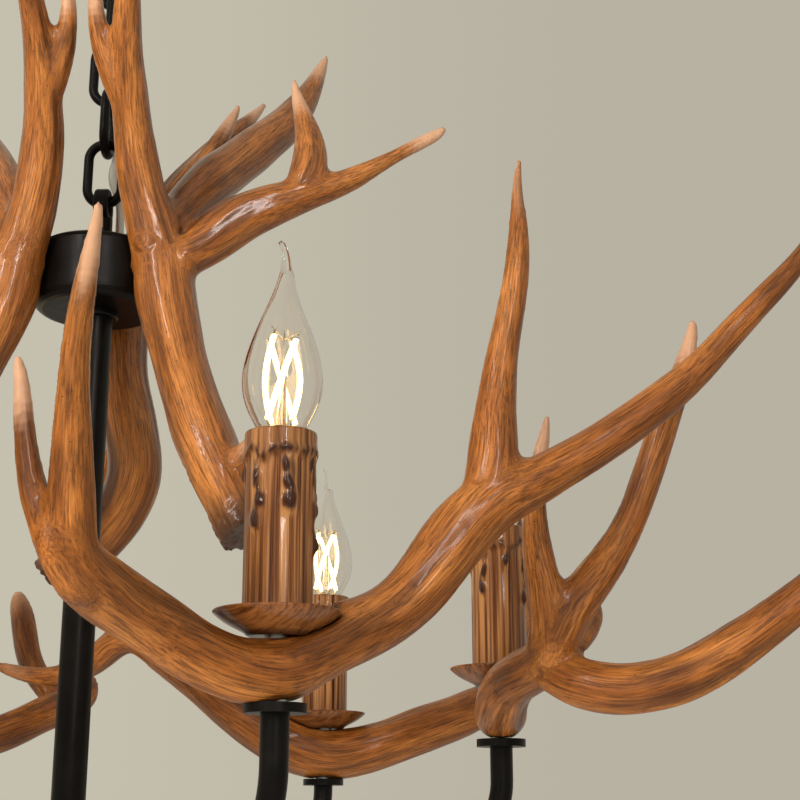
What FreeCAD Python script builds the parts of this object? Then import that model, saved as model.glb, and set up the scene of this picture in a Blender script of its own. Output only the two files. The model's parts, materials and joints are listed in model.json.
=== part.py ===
"""Antler chandelier: six candle lights on cradle antlers, three crown antlers on a hub, hung by a chain.

Millimetres. Z = 0 is the ceiling plane, +Z is up, and the centre rod runs down the Z axis.
Every point of an antler is (x, y, z, radius): x outward from the rod, y counter-clockwise, z up,
measured from that antler's own seat.
"""

import FreeCAD
import Part

import math
import os

V = FreeCAD.Vector

# ---- driving dimensions ---------------------------------------------------------------------------
SEAT_Z = -598.6            # top of the cradle antlers, where the drip dishes stand
RING_R = 227.0             # the lights stand on this circle
LIGHT_AZ = (-57.3, 1.0, 57.0, 122.0, 180.0, 242.0)
SEAT_LIFT = (0.0, -3.0, -13.0, -6.0, -2.0, -8.0)       # natural antlers: no two seats are level
ANTLER_TURN = (0.0, 0.0, 38.0, 0.0, 0.0, -8.0)          # each antler is clamped by one tube, so it can turn
ANTLER_SIZE = (1.0, 1.0, 1.17, 0.95, 1.0, 1.0)
BEAM_DEPTH = 27.0          # seat flat to lower flat of a cradle antler

HUB_R = 36.0
HUB_TOP = -351.0
HUB_BOTTOM = -390.5
HUB_MID = -372.0
CROWN_AZ = (-35.0, 88.0, 215.0)
CROWN_SIZE = (1.0, 0.95, 1.0)
CROWN_GIRTH = (1.0, 1.14, 1.0)
CROWN_SPURS = (True, False, True)        # the rear antler has a back tine in place of its side limbs
CROWN_LEFT_HANDED = (False, False, True)
HUB_FIT = 0.1

ROD_R = 9.0
ROD_BORE = 6.5
LOWER_HUB_R = 27.0
LOWER_HUB_TOP = -674.0
LOWER_HUB_BOTTOM = -706.0
ARM_Z = -690.0
ARM_R = 6.0
ARM_BORE = 4.5
ARM_BEND = 40.0

SLEEVE_R = 14.75
SLEEVE_WALL = 1.6
SLEEVE_TOP = 86.6          # above the seat
DISH_RIM_R = 26.8
DISH_FOOT_R = 12.0
DISH_HEIGHT = 10.5
TUBE_R = 5.0               # M10 lamp tube
BULB_R = 17.5
BULB_TIP = 89.0            # bulb tip above the sleeve top

LINK_WIRE = 2.8
LINK_HALF_WIDTH = 9.95     # to the middle of the wire
LINK_PITCH = 32.5
LINK_LENGTH = 38.4         # middle of wire to middle of wire
LINKS = 7
FIRST_LINK_Z = -323.7      # lowest wire of the lowest link
EYE_R = 10.4
EYE_HOLE_R = 5.0
EYE_HALF_THICK = 4.2
CABLE_R = 2.5

CANOPY_R = 60.0
CANOPY_H = 62.0
BRACKET_SLOT_SPACING = 70.0
BRACKET_SLOT_R = 2.3
BRACKET_SLOT_LENGTH = 12.0
CANOPY_SCREW_X = 44.0
EARTH_SCREW_X = -16.0
CANOPY_CABLE_Y = 14.8      # hole for the cable, behind the hook
HUB_CABLE = (7.4, 15.0)    # hole for the cable in the hub top

# ---- cradle antler: one deep beam with a fork of two tines at each end --------------------------------
CRADLE = {
    "beam": [(25, -103, 24, 11), (19, -90, 14, 12.1), (2, -50, -2, 12.8), (0, 0, -13.5, 14.1),
             (3, 51, 12, 13.5), (7, 74, 35, 14.3), (15, 98, 64, 13.7), (24, 118, 76, 11.3),
             (34, 140, 90, 9.8), (46, 166, 110, 9.2), (55, 187, 129, 8.1), (67, 211, 157, 6.9),
             (81, 237, 188, 5.5), (90, 254, 216, 3.5), (98, 267, 237, 1.6)],
    "near_end": [(20, -91, 13, 8), (25, -103, 24, 10.5), (28, -109, 36, 4)],
    "tall_near": [(21, -95, 12, 7.6), (30, -102, 34, 9.4), (44, -109, 64, 7.2), (60, -115, 91, 5.4),
                  (73, -117, 116, 3.8), (82, -118, 136, 1.6)],
    "short_near": [(22, -92, 6, 6.5), (22, -105, 25, 7.8), (19, -113, 45, 5.7), (17, -118, 71, 4.1),
                   (13, -121, 97, 1.6)],
    "tall_far": [(13, 93, 60, 9), (16, 100, 82, 12), (15, 103, 111, 9.6), (17, 110, 154, 6.9),
                 (18, 116, 207, 4.1), (18, 118, 237, 1.6)],
}

# No two antlers are quite alike: three of the six have some limbs of their own.
OWN_LIMBS = {
    1: {
        "beam": [(19, -88, 9, 11), (14, -78, 4, 12), (2, -50, -2, 12.8), (0, 0, -13.5, 14.1),
                 (8, 51, 13, 13.2), (18, 74, 36, 13), (38, 104, 54, 12.3), (62, 134, 68, 10.8),
                 (84, 159, 92, 8.8), (106, 183, 134, 7.5), (126, 208, 178, 6.3), (144, 229, 218, 4.7),
                 (163, 251, 266, 1.6)],
        "near_end": [(20, -86, 5, 9.6), (28, -82, 16, 9.6), (36, -77, 26, 8.4), (41, -74, 35, 4.5)],
        "tall_far": [(22, 80, 40, 9.5), (17, 95, 66, 11.5), (15, 102, 100, 10), (17, 110, 154, 6.9),
                     (18, 116, 207, 4.1), (18, 118, 237, 1.6)],
        "tall_near": [(15, -84, 4, 9.6), (26, -92, 28, 11.7), (42, -95, 48, 9.4), (56, -98, 70, 8),
                      (68, -100, 100, 7.6), (82, -104, 138, 6.2), (91, -106, 172, 1.8)],
        "short_near": [(17, -86, 4, 9), (15, -95, 36, 9.4), (10, -101, 68, 6.5), (13, -104, 102, 4),
                       (17, -105, 123, 1.4)],
        "outer_near": [(15, -80, 3, 9.5), (32, -91, -6, 12), (58, -100, -9, 12), (97, -107, 6, 11.3),
                       (131, -113, 30, 9.9), (163, -120, 60, 6.7), (189, -126, 114, 1.5)],
    },
    2: {
        "beam": [(25, -103, 24, 11), (19, -90, 14, 12.1), (2, -50, -2, 12.8), (0, 0, -13.5, 14.1),
                 (3, 51, 12, 13.2), (7, 75, 32, 13), (13, 99, 50, 12.5), (20, 120, 70, 11),
                 (28, 132, 97, 9.1), (35, 133, 134, 7.5), (40, 130, 174, 5.8), (45, 129, 210, 3.7),
                 (48, 128, 240, 1.6)],
        "tall_far": [(10, 88, 41, 10.2), (18, 117, 50, 9.7), (25, 137, 36, 8), (32, 163, 31, 5.2),
                     (38, 190, 38, 1.6)],
    },
    3: {
        "tall_near": [(27, -81, 13, 7.6), (42, -73, 36, 9), (58, -68, 60, 9.8), (69, -67, 82, 9.4),
                      (75, -65, 96, 6.5), (77, -64, 103, 2.6)],
        "short_near": [(24, -82, 14, 6.6), (28, -95, 38, 6), (32, -104, 60, 4.9), (37, -110, 78, 3.2),
                       (38, -111, 90, 1.5)],
    },
}

# ---- crown antler: burr end hanging down, screwed to the hub at mid height, crown of tines above -------
CROWN = {
    "main_up": [(52, -1, -3, 15.5), (47, -19, 51, 12.3), (57, -40, 94, 9.9), (76, -62, 132, 6.8),
                (106, -83, 174, 1.6)],
    "main_down": [(52, -1, 3, 15.5), (61, 0, -44, 15.5), (80, -2, -89, 15.3), (98, -3, -123, 15.5),
                  (112, -3, -145, 14.2), (121, -2, -160, 14.6)],
    "brow": [(89, -3, -124, 10.4), (113, -3, -124, 9.2), (128, -6, -115, 5.5), (141, -11, -107, 1.5)],
    "fork": [(50, -3, 0, 11.1), (70, 13, 12, 13.4), (86, 27, 29, 13.5), (101, 39, 38, 11.3),
             (116, 53, 46, 9.1), (134, 70, 58, 6.4), (152, 86, 73, 4), (171, 104, 91, 1.5)],
    "fork_tine": [(106, 43, 37, 6.8), (113, 50, 59, 10.8), (108, 54, 87, 7.5), (101, 53, 110, 3.5),
                  (99, 52, 122, 1.6)],
    "rear": [(51, -12, 8, 9.4), (50, 20, 44, 13.2), (50, 66, 90, 14), (53, 111, 138, 10.2),
             (54, 133, 176, 4.6), (55, 139, 190, 1.7)],
    "back_tine": [(58, -4, -22, 8), (76, 2, 14, 10.2), (97, 4, 50, 8.2), (112, 2, 92, 5.1),
                  (117, -2, 129, 1.6)],
    "top_tine": [(54, -30, 72, 6.6), (52, -58, 115, 6), (60, -72, 150, 1.5)],
}
REAR_CROWN_DOWN = [(52, -1, 3, 15.5), (55, -3, -37, 14.5), (62, -9, -75, 15), (66, -12, -101, 15),
                   (70, -3, -126, 14.7), (74, 15, -148, 14.3), (76, 37, -169, 15.4)]


# ---- shape helpers -------------------------------------------------------------------------------
def cylinder(radius, z0, z1, x=0.0, y=0.0):
    """Upright cylinder between two heights."""
    return Part.makeCylinder(radius, z1 - z0, V(x, y, z0))


def ring(outer, inner, z0, z1, x=0.0, y=0.0):
    """Upright tube between two heights."""
    return cylinder(outer, z0, z1, x, y).cut(cylinder(inner, z0 - 1, z1 + 1, x, y))


def revolve(profile):
    """Solid of revolution about Z from (radius, z) points."""
    points = [V(r, 0, z) for r, z in profile]
    face = Part.Face(Part.makePolygon(points + points[:1]))
    return face.revolve(V(0, 0, 0), V(0, 0, 1), 360)


def hexagon(across_flats, z0, z1):
    """Upright hexagonal prism on the Z axis."""
    radius = across_flats / math.sqrt(3)
    points = [V(radius * math.cos(math.radians(60 * k)), radius * math.sin(math.radians(60 * k)), z0)
              for k in range(7)]
    return Part.Face(Part.makePolygon(points)).extrude(V(0, 0, z1 - z0))


def placed(shape, azimuth, radius, z, turn=0.0):
    """A copy of the shape, turned, and moved to a place on a circle round the rod."""
    out = shape.copy()
    out.rotate(V(0, 0, 0), V(0, 0, 1), azimuth + turn)
    angle = math.radians(azimuth)
    out.translate(V(radius * math.cos(angle), radius * math.sin(angle), z))
    return out


def branch(points):
    """A tapering limb lofted through circles that stand square to its path."""
    places = [V(x, y, z) for x, y, z, r in points]
    sections = []
    for k, (x, y, z, r) in enumerate(points):
        along = places[min(k + 1, len(places) - 1)] - places[max(k - 1, 0)]
        circle = Part.Circle(places[k], along, r)
        sections.append(Part.Wire([circle.toShape()]))
    return Part.makeLoft(sections, True, False)


def antler(limbs, scale, girth=1.0):
    """All limbs of one antler as a single solid."""
    sizes = (scale, scale, scale, scale * girth)
    solids = [branch([tuple(v * k for v, k in zip(p, sizes)) for p in limb]) for limb in limbs.values()]
    whole = solids[0]
    for solid in solids[1:]:
        whole = whole.fuse(solid)
    return whole


def route(points):
    """A wire of straight runs joined by tangent arcs, as large as the runs allow, and its length."""
    places = [V(*p) for p in points]
    edges = []
    start = places[0]
    for before, corner, after in zip(places, places[1:], places[2:]):
        a = (before - corner).normalize()
        b = (after - corner).normalize()
        shorter = min((before - corner).Length, (after - corner).Length)
        cut = 0.45 * shorter
        middle = (a + b).normalize()
        half = a.getAngle(b) / 2
        radius = cut * math.tan(half)
        centre = corner + middle * (cut / math.cos(half))
        p0 = corner + a * cut
        p1 = corner + b * cut
        pm = centre - middle * radius
        edges.append(Part.makeLine(start, p0))
        edges.append(Part.Arc(p0, pm, p1).toShape())
        start = p1
    edges.append(Part.makeLine(start, places[-1]))
    return Part.Wire(edges)


def tube(points, radius):
    """A round cord along a route, checked against its section times its length."""
    path = route(points)
    first = (V(*points[1]) - V(*points[0])).normalize()
    section = Part.Wire([Part.Circle(V(*points[0]), first, radius).toShape()])
    solid = path.makePipeShell([section], True, False)
    expected = math.pi * radius * radius * path.Length
    print("cord: length %.1f, volume/expected %.4f" % (path.Length, solid.Volume / expected))
    return solid


# ---- ceiling: bracket, canopy, eye ------------------------------------------------------------------
def ceiling_bracket():
    """Steel crossbar: two slots for the ceiling box, two tapped ends for the canopy, an earth screw hole."""
    bar = Part.makeBox(106, 20, 2.5, V(-53, -10, -2.5))
    for side in (-1, 1):
        x = side * BRACKET_SLOT_SPACING / 2
        half = BRACKET_SLOT_LENGTH / 2 - BRACKET_SLOT_R
        slot = Part.makeBox(2 * half, 2 * BRACKET_SLOT_R, 6, V(x - half, -BRACKET_SLOT_R, -4))
        for end in (-half, half):
            slot = slot.fuse(cylinder(BRACKET_SLOT_R, -4, 2, x + end))
        bar = bar.cut(slot)
        bar = bar.cut(cylinder(2.0, -4, 2, side * CANOPY_SCREW_X))
    return bar.cut(cylinder(2.0, -4, 2, EARTH_SCREW_X))


def canopy():
    """Spun steel cup that covers the ceiling box."""
    outer = [(0, -CANOPY_H), (16, -CANOPY_H), (34, -57), (48, -45), (56, -28), (CANOPY_R, -12),
             (CANOPY_R, 0)]
    inner = [(CANOPY_R - 1.5, 0), (CANOPY_R - 1.5, -12), (54.6, -27.4), (46.9, -43.8), (33.2, -55.6),
             (16, -CANOPY_H + 1.6), (0, -CANOPY_H + 1.6)]
    cup = revolve(outer + inner)
    cup = cup.cut(cylinder(5.1, -70, -50))
    cup = cup.cut(cylinder(3.4, -70, -50, 0, CANOPY_CABLE_Y))
    for side in (-1, 1):
        cup = cup.cut(cylinder(2.2, -60, -40, side * CANOPY_SCREW_X))
    return cup


def canopy_fasteners():
    """Two long screws from the bracket through the canopy, each with a domed knob, and the hook's nut."""
    nut = hexagon(17, -CANOPY_H + 1.65, -CANOPY_H + 7).cut(cylinder(TUBE_R + 0.05, -70, -40))
    solids = [nut]
    for side in (-1, 1):
        x = side * CANOPY_SCREW_X
        screw = cylinder(1.95, -60.5, -0.4, x).fuse(cylinder(5.0, -60.5, -52.5, x))
        knob_round = Part.makeSphere(5.0, V(x, 0, -60.5))
        solids.append(screw.fuse(knob_round))
    return Part.makeCompound(solids)


def eye(hole_z, stem_top, stem_bottom):
    """Cast eye in the YZ plane with a round stem, its hole along X."""
    disc = Part.makeCylinder(EYE_R, 2 * EYE_HALF_THICK, V(-EYE_HALF_THICK, 0, hole_z), V(1, 0, 0))
    hole = Part.makeCylinder(EYE_HOLE_R, 40, V(-20, 0, hole_z), V(1, 0, 0))
    disc = disc.cut(hole)
    rims = [e for e in disc.Edges if len(e.Vertexes) == 1]
    disc = disc.makeFillet(2.4, [e for e in rims if e.Length < 35])
    rims = [e for e in disc.Edges if len(e.Vertexes) == 1 and e.Length > 60]
    disc = disc.makeFillet(1.6, rims)
    low, high = min(stem_top, stem_bottom), max(stem_top, stem_bottom)
    return disc.fuse(cylinder(5.9, low, high))


def top_of_link(k):
    """Height of the upper wire of link k, counted from the lowest, 0."""
    return FIRST_LINK_Z + k * LINK_PITCH + LINK_LENGTH


EYE_BAR_GAP = 0.7           # between an eye's bar and the link that hangs on it
HOOK_HOLE_Z = top_of_link(LINKS - 1) - LINK_WIRE - EYE_BAR_GAP + EYE_HOLE_R
EYE_HOLE_Z = FIRST_LINK_Z + LINK_WIRE + EYE_BAR_GAP - EYE_HOLE_R


def canopy_hook():
    """Eye under the canopy with its threaded neck, collar and lock nut."""
    body = eye(HOOK_HOLE_Z, -63, HOOK_HOLE_Z + 8)
    body = body.fuse(cylinder(8.0, -66.5, -CANOPY_H - 0.05))
    body = body.fuse(cylinder(TUBE_R, -64, -44))
    return body


def terminal_block():
    """Three-way terminal strip that lies under the bracket."""
    block = Part.makeBox(26, 14, 12, V(-13, 12, -24))
    for k in (-1, 0, 1):
        block = block.cut(Part.makeCylinder(1.6, 20, V(8.0 * k, 9, -18), V(0, 1, 0)))
    return block


# ---- chain and cable --------------------------------------------------------------------------------
def link(z_low, across_x):
    """One long oval link: two straight sides and two half rings."""
    w = LINK_HALF_WIDTH
    z0 = z_low + w
    z1 = z_low + LINK_LENGTH - w
    pts = [V(-w, 0, z0), V(0, 0, z_low), V(w, 0, z0), V(w, 0, z1), V(0, 0, z_low + LINK_LENGTH), V(-w, 0, z1)]
    bottom = Part.Arc(pts[0], pts[1], pts[2]).toShape()
    top = Part.Arc(pts[3], pts[4], pts[5]).toShape()
    path = Part.Wire([bottom, Part.makeLine(pts[2], pts[3]), top, Part.makeLine(pts[5], pts[0])])
    section = Part.Wire([Part.Circle(pts[0], V(0, 0, 1), LINK_WIRE).toShape()])
    solid = path.makePipeShell([section], True, True)
    if not across_x:
        solid.rotate(V(0, 0, 0), V(0, 0, 1), 90)
    return solid


def cable_point(k, level):
    """Place of the cable beside link k: at its lower crossing (0) or its middle (1)."""
    z = FIRST_LINK_Z + k * LINK_PITCH + (3.0 if level == 0 else LINK_LENGTH / 2)
    side, near = 6.2, 2.0
    if level == 0:
        return (side, side, z)
    return (near, side, z) if k % 2 == 0 else (side, near, z)


def cable_parts():
    """The clear cable in three lengths: in the hub and chain, in the top link, and in the canopy."""
    last = LINKS - 1
    x, y = HUB_CABLE
    lower = [(x, y, HUB_TOP - 12), (x, y, HUB_TOP + 8), (x + 1, 8.8, FIRST_LINK_Z + 5)]
    for k in range(last):
        lower.append(cable_point(k, 1))
        lower.append(cable_point(k + 1, 0))
    x, y, z = cable_point(last, 0)
    swing_z = top_of_link(last) - LINK_HALF_WIDTH
    middle = [(x, y, z + 2), (3.5, 6.6, z + 10), (0.5, 7.6, swing_z - 7), (0.0, 10.0, swing_z - 0.4)]
    hole = CANOPY_CABLE_Y
    upper = [(0.0, 10.2, swing_z + 0.4), (0.0, 14.0, swing_z + 10.4), (0.8, hole, -70),
             (0.0, hole - 0.4, -50), (0.0, 19.0, -36), (0.0, 19.0, -24.3)]
    return tube(lower, CABLE_R), tube(middle, CABLE_R), tube(upper, CABLE_R)


# ---- hub and rod ------------------------------------------------------------------------------------
def hub_loop():
    """Eye that carries the hub, with its collar and flared foot."""
    body = eye(EYE_HOLE_Z, EYE_HOLE_Z - 8, HUB_TOP + 1)
    flare = revolve([(0, HUB_TOP + 0.05), (8.4, HUB_TOP + 0.05), (8.2, HUB_TOP + 2), (5.9, HUB_TOP + 5),
                     (0, HUB_TOP + 5)])
    neck = cylinder(TUBE_R, HUB_TOP - 12, HUB_TOP + 1)
    return body.fuse(flare).fuse(neck)


def hub_shell():
    """Deep cup, open below, with three screw holes for the crown antlers."""
    top, low = HUB_TOP, HUB_BOTTOM
    outer = [(0, top), (22, top - 0.4), (HUB_R - 3, top - 2.2), (HUB_R - 0.8, top - 3.6), (HUB_R, top - 6),
             (HUB_R, low + 6)]
    inner = [(HUB_R - 2, low + 6), (HUB_R - 2, top - 6.6), (HUB_R - 4, top - 4.8), (22, top - 2.6),
             (0, top - 2.4)]
    shell = revolve(outer + inner)
    shell = shell.cut(cylinder(TUBE_R + 0.1, top - 10, top + 5))
    shell = shell.cut(cylinder(CABLE_R + 0.3, top - 10, top + 5, *HUB_CABLE))
    for azimuth in CROWN_AZ:
        hole = Part.makeCylinder(2.6, 30, V(20, 0, 0), V(1, 0, 0))
        shell = shell.cut(placed(hole, azimuth, 0, HUB_MID))
    return shell


def hub_cover():
    """Rounded bottom plate of the hub that the rod passes through."""
    low = HUB_BOTTOM
    outer = [(0, low), (HUB_R - 5.5, low), (HUB_R - 3.2, low + 0.6), (HUB_R - 1.3, low + 2.1),
             (HUB_R - 0.2, low + 4.4), (HUB_R, low + 5.95)]
    inner = [(HUB_R - 2.1, low + 5.95), (HUB_R - 3.2, low + 3.4), (HUB_R - 6, low + 2), (0, low + 2)]
    return revolve(outer + inner).cut(cylinder(ROD_R + 0.1, low - 5, low + 5))


def hub_nut():
    """Round lock ring under the hub."""
    low = HUB_BOTTOM
    return revolve([(ROD_R + 0.1, low - 0.05), (12.2, low - 0.05), (12.2, low - 3.2), (11.4, low - 4.2),
                    (ROD_R + 0.1, low - 4.2)])


def center_rod():
    """Black tube from inside the hub to the lower hub; the wires run down inside it."""
    return ring(ROD_R, ROD_BORE, LOWER_HUB_TOP - 8, HUB_BOTTOM + 24)


def lower_hub():
    """Cup that holds the six arms."""
    top, low = LOWER_HUB_TOP, LOWER_HUB_BOTTOM
    outer = [(0, top), (18, top), (LOWER_HUB_R, top - 5), (LOWER_HUB_R, low + 4), (0, low + 4)]
    solid = revolve(outer)
    solid = solid.cut(cylinder(LOWER_HUB_R - 3, low + 1, top - 9))
    solid = solid.cut(cylinder(ROD_R + 0.1, top - 12, top + 5))
    for azimuth in LIGHT_AZ:
        hole = Part.makeCylinder(ARM_R + 0.1, 30, V(10, 0, ARM_Z), V(1, 0, 0))
        solid = solid.cut(placed(hole, azimuth, 0, 0))
    return solid


def finial():
    """Turned drop with the lid that closes the lower hub."""
    low = LOWER_HUB_BOTTOM
    profile = [(0, low + 3.95), (LOWER_HUB_R, low + 3.95), (LOWER_HUB_R, low + 2.4), (21, low), (9, low - 1),
               (8, low - 3), (5, low - 6), (5, low - 9), (9.5, low - 14), (11, low - 20), (9, low - 27),
               (4.5, low - 32), (2.2, low - 37), (0, low - 39)]
    return revolve(profile)


def arm(index):
    """Bent steel tube with a flange that the antler sits on; its root is inside the lower hub."""
    top = SEAT_Z + SEAT_LIFT[index] - BEAM_DEPTH * ANTLER_SIZE[index]
    path = [(19, 0, ARM_Z), (RING_R, 0, ARM_Z), (RING_R, 0, top - 4)]
    body = bent(path, ARM_R).cut(bent(path, ARM_BORE))
    flange = ring(13, TUBE_R + 0.05, top - 4, top - 0.05, RING_R, 0)
    return placed(body.fuse(flange), LIGHT_AZ[index], 0, 0)


def bent(path, radius):
    """Round bar of two straight runs joined by one bend of the arm's radius."""
    a, corner, c = (V(*p) for p in path)
    p0 = corner - V(ARM_BEND, 0, 0)
    p1 = corner + V(0, 0, ARM_BEND)
    slant = ARM_BEND * (1 - math.sqrt(0.5))
    middle = corner + V(-slant, 0, slant)
    wire = Part.Wire([Part.makeLine(a, p0), Part.Arc(p0, middle, p1).toShape(), Part.makeLine(p1, c)])
    section = Part.Wire([Part.Circle(a, V(1, 0, 0), radius).toShape()])
    return wire.makePipeShell([section], True, False)


def lamp_wires():
    """Insulated wires: one down the rod, six along the arms and up the lamp tubes."""
    solids = [cylinder(2.4, LOWER_HUB_TOP - 11, HUB_TOP - 13)]
    for index, azimuth in enumerate(LIGHT_AZ):
        top = SEAT_Z + SEAT_LIFT[index] + 9
        path = [(10, 0, ARM_Z), (RING_R, 0, ARM_Z), (RING_R, 0, top)]
        solids.append(placed(bent(path, 1.2), azimuth, 0, 0))
    return Part.makeCompound(solids)


# ---- antlers ----------------------------------------------------------------------------------------
def cradle_antler(index):
    """One cradle antler with its seat, its lower flat and the bore for the lamp tube."""
    scale = ANTLER_SIZE[index]
    body = antler(dict(CRADLE, **OWN_LIMBS.get(index, {})), scale)
    body = body.cut(dish_seat())
    body = body.cut(cylinder(15.5, -BEAM_DEPTH * scale - 12, -BEAM_DEPTH * scale))
    body = body.cut(cylinder(TUBE_R + 0.25, -60, 60))
    return placed(body, LIGHT_AZ[index], RING_R, SEAT_Z + SEAT_LIFT[index], ANTLER_TURN[index])


def dish_seat():
    """The space a drip dish needs: its underside with a little play, open above."""
    play = 0.4
    lip = DISH_RIM_R + play
    profile = [(0, 0), (DISH_FOOT_R + play, 0), (DISH_FOOT_R + 1.4, 0.9), (17.3, 2.8), (22.3, 5.4),
               (26.0, 8.2), (lip, DISH_HEIGHT - 1.2), (lip, 32), (0, 32)]
    return revolve(profile)


def mirrored(limb):
    """The same limb on a left-handed antler."""
    return [(x, -y, z, r) for x, y, z, r in limb]


def crown_antler(index):
    """One crown antler with its boss, which fits the hub and takes the screw."""
    scale = CROWN_SIZE[index]
    left_out = ("back_tine",) if CROWN_SPURS[index] else ("brow", "fork", "fork_tine", "rear")
    limbs = {name: limb for name, limb in CROWN.items() if name not in left_out}
    if not CROWN_SPURS[index]:
        limbs["main_down"] = REAR_CROWN_DOWN
    if CROWN_LEFT_HANDED[index]:
        limbs = {name: mirrored(limb) for name, limb in limbs.items()}
    body = antler(limbs, scale, CROWN_GIRTH[index])
    body.translate(V(52 * (1 - scale) + 16 * (CROWN_GIRTH[index] - 1), 0, 0))
    boss = Part.makeCone(11.0, 9.5, 30, V(54, -1, 0), V(-1, 0, 0))
    body = body.fuse(boss)
    body = body.cut(cylinder(HUB_R + HUB_FIT, -60, 60))
    body = body.cut(Part.makeCylinder(2.5, 20, V(30, 0, 0), V(1, 0, 0)))
    return placed(body, CROWN_AZ[index], 0, HUB_MID)


def crown_screws():
    """Three screws from inside the hub into the antlers' bosses."""
    solids = []
    for azimuth in CROWN_AZ:
        shaft = Part.makeCylinder(2.4, 16, V(HUB_R - 3, 0, 0), V(1, 0, 0))
        head = Part.makeCylinder(4.6, 3, V(HUB_R - 5.4, 0, 0), V(1, 0, 0))
        solids.append(placed(shaft.fuse(head), azimuth, 0, HUB_MID))
    return Part.makeCompound(solids)


# ---- one light, standing on its seat at z = 0 --------------------------------------------------------
def lamp_tube(index):
    """Threaded tube that clamps flange, antler and dish together; it ends flush with the flange."""
    return ring(TUBE_R, 3.5, -BEAM_DEPTH * ANTLER_SIZE[index] - 3.9, 12)


def tube_nut():
    """Hexagonal nut on the dish floor."""
    return hexagon(16, 2.6, 7.4).cut(cylinder(TUBE_R + 0.05, 0, 10))


def drip_dish():
    """Shallow turned wooden dish."""
    h, r = DISH_HEIGHT, DISH_RIM_R
    outer = [(0, 0.05), (DISH_FOOT_R, 0.05), (DISH_FOOT_R + 1, 1.2), (17, 3.2), (22, 5.8), (25.6, 8.6),
             (r, h - 0.8), (r - 0.1, h)]
    inner = [(r - 1.2, h), (24.4, 8.8), (21, 6.9), (17.4, 5), (15.6, 2.5), (0, 2.5)]
    return revolve(outer + inner).cut(cylinder(TUBE_R + 0.1, -2, 6))


def candle_sleeve():
    """Candle-shaped sleeve: a tube with a thick lip of wax at the top."""
    r = SLEEVE_R
    top = SLEEVE_TOP
    profile = [(r - SLEEVE_WALL, 2.6), (r, 2.6), (r, top - 9), (r + 0.5, top - 6.5), (r + 0.5, top - 1.6),
               (r - 0.8, top - 0.3), (r - 1.8, top), (r - SLEEVE_WALL - 0.6, top - 0.3),
               (r - SLEEVE_WALL, top - 1.6)]
    return revolve(profile)


def lamp_holder():
    """E14 lamp holder: a foot nut on the tube, a body and a socket."""
    body = cylinder(9.5, 12.1, 30).fuse(cylinder(11.8, 30, 74.4))
    body = body.cut(cylinder(7.4, 52, 80))
    return body.cut(cylinder(3.5, 10, 24))


BULB_SHOULDER = SLEEVE_TOP - 3.0       # where the glass leaves its cap


def bulb_cap():
    """Metal screw cap of the bulb with its solder contact."""
    low = 53.0
    rim = BULB_SHOULDER - 0.05
    profile = [(0, low), (3, low), (4.4, low + 2), (6.9, low + 3.6), (6.9, low + 22), (8.6, low + 25),
               (8.6, rim), (6.4, rim), (6.4, low + 26), (0, low + 24)]
    return revolve(profile)


def bulb_glass():
    """Hollow flame-shaped glass with its bent tip, blown as one piece."""
    z, r, top = BULB_SHOULDER, BULB_R, SLEEVE_TOP + BULB_TIP
    outside = [(0, 0, z, 7.6), (0, 0, z + 3, 9.6), (0, 0, z + 9, 12.9), (0, 0, z + 15.5, 15.8),
               (0, 0, z + 26, r), (0, 0, z + 34, r - 0.9), (0, 0, z + 43.5, 14), (0, 0, z + 53, 10.5),
               (0.2, 0, z + 61.5, 7.1), (0.7, 0, z + 69, 4.7), (0.9, 0, z + 76, 3), (0.4, 0, z + 83, 1.9),
               (-1, 0, top - 4, 1.5), (-2.6, 0, top - 1.2, 1.4)]
    inside = [(x, y, h, radius - 0.9) for x, y, h, radius in outside[:11]]
    inside[0] = (0, 0, z + 0.9, 7.4)
    return branch(outside).cut(branch(inside))


# ---- assembly ---------------------------------------------------------------------------------------
def at_light(shape, index, turn=0.0):
    """The shape moved to one of the six seats."""
    return placed(shape, LIGHT_AZ[index], RING_R, SEAT_Z + SEAT_LIFT[index], turn)


def nodes():
    """Every named piece of the chandelier."""
    out = {
        "ceiling_bracket": ceiling_bracket(),
        "canopy": canopy(),
        "canopy_fasteners": canopy_fasteners(),
        "canopy_hook": canopy_hook(),
        "terminal_block": terminal_block(),
        "chain_top_link": link(FIRST_LINK_Z + (LINKS - 1) * LINK_PITCH, True),
        "chain_links": Part.makeCompound(
            [link(FIRST_LINK_Z + k * LINK_PITCH, k % 2 == 0) for k in range(LINKS - 1)]),
        "hub_loop": hub_loop(),
        "hub_shell": hub_shell(),
        "hub_cover": hub_cover(),
        "center_rod": center_rod(),
        "lower_hub": lower_hub(),
        "finial": finial(),
        "crown_screws": crown_screws(),
        "lamp_wires": lamp_wires(),
    }
    out["supply_cable"], out["top_link_cable"], out["canopy_cable"] = cable_parts()
    everyone = range(len(LIGHT_AZ))
    out["lamp_tubes"] = Part.makeCompound([at_light(lamp_tube(k), k) for k in everyone])
    out["lock_nuts"] = Part.makeCompound([hub_nut()] + [at_light(tube_nut(), k) for k in everyone])
    out["lamp_holders"] = Part.makeCompound([at_light(lamp_holder(), k) for k in everyone])
    dish, sleeve, cap, glass = drip_dish(), candle_sleeve(), bulb_cap(), bulb_glass()
    for k in everyone:
        out["arm_%d" % (k + 1)] = arm(k)
        out["cradle_antler_%d" % (k + 1)] = cradle_antler(k)
        out["drip_dish_%d" % (k + 1)] = at_light(dish, k)
        out["candle_sleeve_%d" % (k + 1)] = at_light(sleeve, k)
        out["bulb_cap_%d" % (k + 1)] = at_light(cap, k)
        out["bulb_glass_%d" % (k + 1)] = at_light(glass, k, BULB_TURN[k])
    for k in range(len(CROWN_AZ)):
        out["crown_antler_%d" % (k + 1)] = crown_antler(k)
    return out


BULB_TURN = (20.0, 140.0, 250.0, 300.0, 80.0, 190.0)       # each bulb stops at its own angle in its socket


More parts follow.
